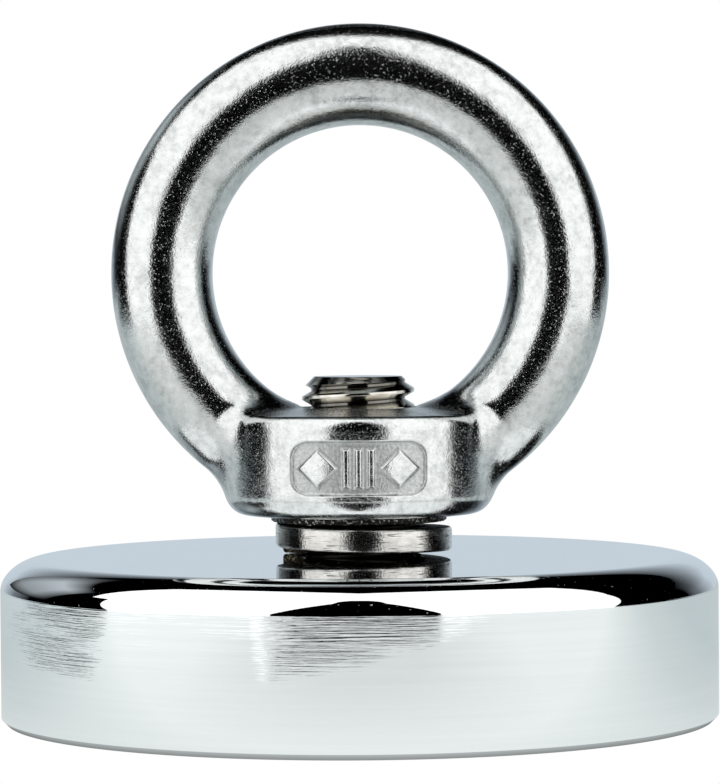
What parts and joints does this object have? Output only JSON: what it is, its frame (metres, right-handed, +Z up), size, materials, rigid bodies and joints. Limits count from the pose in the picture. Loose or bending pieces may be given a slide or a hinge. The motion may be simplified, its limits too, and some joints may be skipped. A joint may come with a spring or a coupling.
{
  "type": "magnet fishing magnet",
  "caption": "Round steel pot magnet for magnet fishing, with a cast lifting eye nut and split lock washer on the countersunk bolt through its centre.",
  "frame": {"origin": "centre of the magnet face, at the level of the pot's rim", "axes": "+Z up the bolt and through the middle of the eye; +X and +Z lie in the plane of the eye's ring; -Y is the side of the collar with the sunk panel"},
  "size_m": [0.075, 0.075, 0.0726],
  "materials": {
    "nickel_plate": "nickel plated, mirror bright on top and finely turned on the wall",
    "magnet_plating": "satin nickel plating over sintered magnet",
    "adhesive": "cured epoxy adhesive",
    "resin": "black cast resin, slightly dished",
    "bolt_steel": "bright rolled stainless thread with a faint warm tint",
    "washer_steel": "drawn spring steel with fine lines around it",
    "cast_steel": "tumbled and half polished stainless casting with fine pits"
  },
  "bodies": {
    "pot": {"pot_shell": "nickel_plate", "ring_magnet": "magnet_plating", "magnet_bond_film": "adhesive", "outer_resin_ring": "resin", "inner_resin_ring": "resin", "countersunk_bolt": "bolt_steel"},
    "lock_washer": {"lock_washer": "washer_steel"},
    "eye_nut": {"eye_nut": "cast_steel"}
  },
  "joints": [
    {"name": "nut_turn", "type": "hinge", "parent": "pot", "child": "lock_washer", "pos_m": [0, 0, 0.017], "axis": [0, 0, 1], "range_deg": [0, 3240]},
    {"name": "nut_rise", "type": "slide", "parent": "lock_washer", "child": "eye_nut", "axis": [0, 0, 1], "range_m": [0, 0.01575]}
  ],
  "couplings": [
    {"joint": "nut_rise", "follows": "nut_turn", "m_per_rad": 0.00027852}
  ]
}
